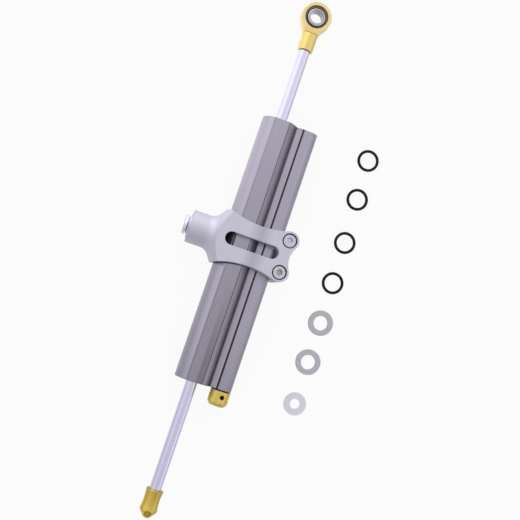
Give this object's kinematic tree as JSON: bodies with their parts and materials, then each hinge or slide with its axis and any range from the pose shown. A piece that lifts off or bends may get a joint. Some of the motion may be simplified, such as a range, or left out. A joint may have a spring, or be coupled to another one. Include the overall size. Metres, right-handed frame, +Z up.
{
  "type": "steering damper",
  "caption": "Linear motorcycle steering damper with a twin-tube body, through rod, eye end, click knob and slotted swivel clamp, lying beside a row of loose rings.",
  "frame": {"origin": "centre of the bore in the eye's ball, on the rod's axis", "axes": "+X along the rod from the eye to the end cap, +Y across from the rod to the valve tube and the clamp's bolts, +Z up from the clamp's back face, which the damper lies on"},
  "size_m": [0.374, 0.1247, 0.032],
  "materials": {
    "clamp_metal": "bead-blasted, light silver",
    "bolt_steel": "zinc-plated steel",
    "bearing_steel": "ground steel",
    "polished_steel": "polished steel",
    "anodised_grey": "satin anodised, lilac grey",
    "bare_aluminium": "turned aluminium",
    "bronze": "turned bronze",
    "black_rubber": "moulded nitrile rubber",
    "spring_steel": "blackened spring steel",
    "white_plastic": "natural nylon",
    "chrome_rod": "hard chrome, ground",
    "gold_anodised": "gold anodised",
    "dark_steel": "blackened steel",
    "washer_steel": "plain steel"
  },
  "bodies": {
    "clamp": {"clamp_body": "clamp_metal", "clamp_bolts": "bolt_steel", "pivot_race": "bearing_steel"},
    "pivot_ball": {"pivot_ball": "bearing_steel"},
    "pivot_collar": {"pivot_collar": "polished_steel"},
    "housing": {"housing": "anodised_grey", "eye_gland": "bare_aluminium", "cap_gland": "bare_aluminium", "eye_bushing": "bronze", "cap_bushing": "bronze", "eye_rod_seal": "black_rubber", "cap_rod_seal": "black_rubber", "eye_wiper": "black_rubber", "cap_wiper": "black_rubber", "eye_gland_oring": "black_rubber", "cap_gland_oring": "black_rubber", "eye_circlip": "spring_steel", "cap_circlip": "spring_steel", "tube_plug": "bare_aluminium", "tube_plug_oring": "black_rubber", "tube_circlip": "spring_steel", "channel_plug": "bearing_steel", "valve_body": "bronze", "valve_seat": "bearing_steel", "detent_ball": "bearing_steel", "detent_spring": "spring_steel"},
    "piston": {"piston": "bare_aluminium", "piston_band": "white_plastic"},
    "rod": {"rod": "chrome_rod", "piston_clips": "spring_steel", "eye": "gold_anodised", "eye_race": "dark_steel", "end_cap": "gold_anodised"},
    "eye_ball": {"eye_ball": "bearing_steel"},
    "adjuster": {"adjuster_knob": "gold_anodised", "knob_grub_screw": "dark_steel", "adjuster_stem": "bearing_steel", "stem_oring": "black_rubber"},
    "needle": {"valve_needle": "bearing_steel"},
    "divider": {"divider_piston": "bare_aluminium", "divider_oring": "black_rubber"},
    "oring_1": {"oring_1": "black_rubber"},
    "oring_2": {"oring_2": "black_rubber"},
    "oring_3": {"oring_3": "black_rubber"},
    "oring_4": {"oring_4": "black_rubber"},
    "washer_1": {"washer_1": "washer_steel"},
    "washer_2": {"washer_2": "washer_steel"},
    "nylon_washer": {"nylon_washer": "white_plastic"}
  },
  "joints": [
    {"name": "clamp_slide", "type": "slide", "parent": "clamp", "child": "housing", "axis": [1, 0, 0], "range_m": [-0.07, 0.06]},
    {"name": "rod_stroke", "type": "slide", "parent": "housing", "child": "piston", "axis": [1, 0, 0], "range_m": [-0.07, 0.05]},
    {"name": "rod_turn", "type": "hinge", "parent": "piston", "child": "rod", "pos_m": [0.182, 0, 0], "axis": [1, 0, 0], "continuous": true},
    {"name": "eye_swivel", "type": "hinge", "parent": "rod", "child": "eye_ball", "pos_m": [0, 0, 0], "axis": [0, 0, 1], "continuous": true},
    {"name": "pivot_tilt", "type": "hinge", "parent": "clamp", "child": "pivot_ball", "pos_m": [0.168, -0.0333, 0], "axis": [0, 0, 1], "range_deg": [-8, 8]},
    {"name": "pivot_turn", "type": "hinge", "parent": "pivot_ball", "child": "pivot_collar", "pos_m": [0.168, -0.0333, 0], "axis": [0, 1, 0], "continuous": true},
    {"name": "knob_turn", "type": "hinge", "parent": "housing", "child": "adjuster", "pos_m": [0.272, 0.0208, 0], "axis": [1, 0, 0], "range_deg": [-270, 270]},
    {"name": "needle_travel", "type": "slide", "parent": "housing", "child": "needle", "axis": [1, 0, 0], "range_m": [-0.000375, 0.000375]},
    {"name": "divider_travel", "type": "slide", "parent": "housing", "child": "divider", "axis": [1, 0, 0], "range_m": [-0.02, 0.02]},
    {"name": "oring_1_lift", "type": "slide", "parent": "clamp", "child": "oring_1", "axis": [0, 0, 1], "range_m": [0, 0.03]},
    {"name": "oring_2_lift", "type": "slide", "parent": "clamp", "child": "oring_2", "axis": [0, 0, 1], "range_m": [0, 0.03]},
    {"name": "oring_3_lift", "type": "slide", "parent": "clamp", "child": "oring_3", "axis": [0, 0, 1], "range_m": [0, 0.03]},
    {"name": "oring_4_lift", "type": "slide", "parent": "clamp", "child": "oring_4", "axis": [0, 0, 1], "range_m": [0, 0.03]},
    {"name": "washer_1_lift", "type": "slide", "parent": "clamp", "child": "washer_1", "axis": [0, 0, 1], "range_m": [0, 0.03]},
    {"name": "washer_2_lift", "type": "slide", "parent": "clamp", "child": "washer_2", "axis": [0, 0, 1], "range_m": [0, 0.03]},
    {"name": "nylon_washer_lift", "type": "slide", "parent": "clamp", "child": "nylon_washer", "axis": [0, 0, 1], "range_m": [0, 0.03]}
  ],
  "couplings": [
    {"joint": "knob_turn", "follows": "needle_travel", "rad_per_m": 12566}
  ]
}
